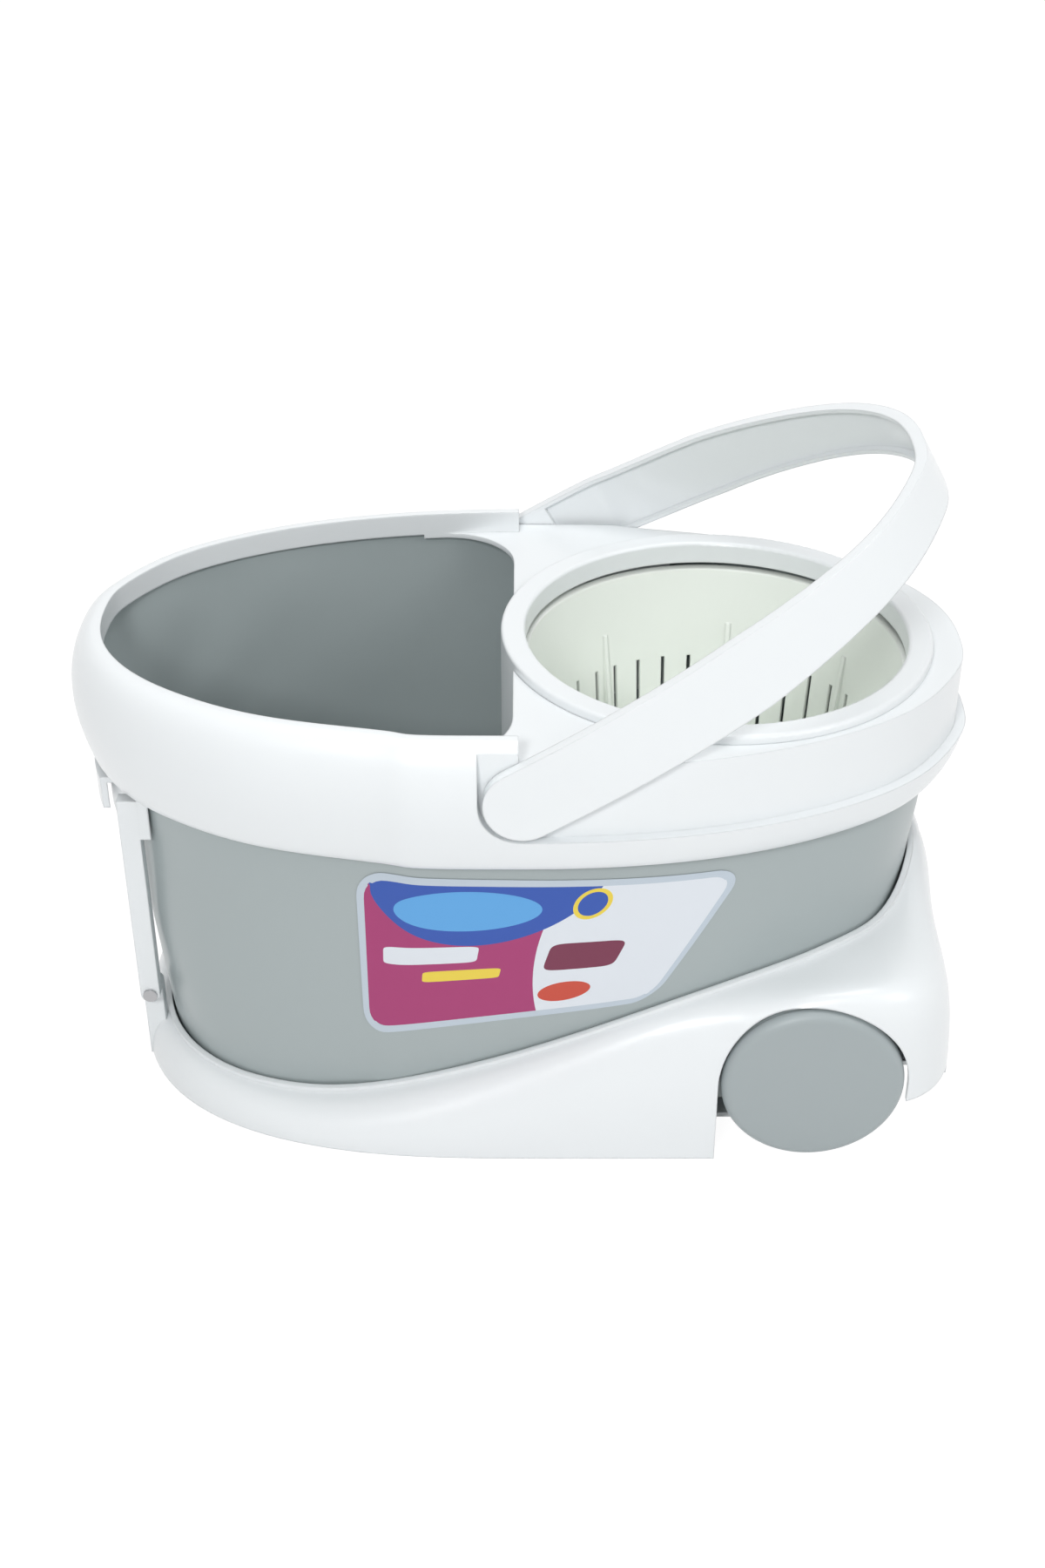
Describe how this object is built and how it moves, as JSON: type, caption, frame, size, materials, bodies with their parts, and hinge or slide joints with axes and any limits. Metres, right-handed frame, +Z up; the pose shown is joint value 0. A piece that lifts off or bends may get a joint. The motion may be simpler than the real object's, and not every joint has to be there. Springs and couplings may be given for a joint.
{
  "type": "spin mop bucket",
  "caption": "Wheeled oval mop bucket with a free-spinning slotted wringer basket under a splash collar, a folding carry bail and a fold-out tow lever.",
  "frame": {"origin": "on the floor, under the middle of the rim", "axes": "+X from the tow lever towards the wheels, +Y across the bucket towards its back wheel, +Z up"},
  "size_m": [0.4978, 0.306, 0.3673],
  "materials": {
    "white_plastic": "glossy",
    "grey_plastic": "glossy",
    "wheel_plastic": "satin",
    "basket_plastic": "glossy",
    "bearing_plastic": "matte",
    "steel": "brushed"
  },
  "bodies": {
    "chassis": {"base_shell": "white_plastic", "tub": "grey_plastic", "tub_screws": "steel", "top_rim": "white_plastic", "splash_collar": "white_plastic", "spindle_post": "white_plastic", "post_screws": "steel", "spindle_shaft": "steel", "thrust_washer": "bearing_plastic", "wheel_axle": "steel", "axle_push_nuts": "steel", "tow_pins": "steel"},
    "basket": {"spin_basket": "basket_plastic", "mop_seat": "basket_plastic", "basket_bush": "bearing_plastic", "hub_cap": "basket_plastic"},
    "bail": {"bail_strap": "white_plastic"},
    "tow_handle": {"tow_lever": "white_plastic"},
    "front_wheel": {"wheel_front": "wheel_plastic", "wheel_cover_front": "wheel_plastic", "wheel_bush_front": "bearing_plastic"},
    "back_wheel": {"wheel_back": "wheel_plastic", "wheel_cover_back": "wheel_plastic", "wheel_bush_back": "bearing_plastic"}
  },
  "joints": [
    {"name": "basket_spin", "type": "hinge", "parent": "chassis", "child": "basket", "pos_m": [0.107, 0, 0.12], "axis": [0, 0, 1], "continuous": true},
    {"name": "bail_swing", "type": "hinge", "parent": "chassis", "child": "bail", "pos_m": [0, 0, 0.231], "axis": [0, -1, 0], "range_deg": [-30, 60]},
    {"name": "tow_swing", "type": "hinge", "parent": "chassis", "child": "tow_handle", "pos_m": [-0.2155, 0, 0.05], "axis": [0, -1, 0], "range_deg": [0, 95]},
    {"name": "front_wheel_spin", "type": "hinge", "parent": "chassis", "child": "front_wheel", "pos_m": [0.1585, -0.134, 0.05], "axis": [0, 1, 0], "continuous": true},
    {"name": "back_wheel_spin", "type": "hinge", "parent": "chassis", "child": "back_wheel", "pos_m": [0.1585, 0.134, 0.05], "axis": [0, 1, 0], "continuous": true}
  ]
}
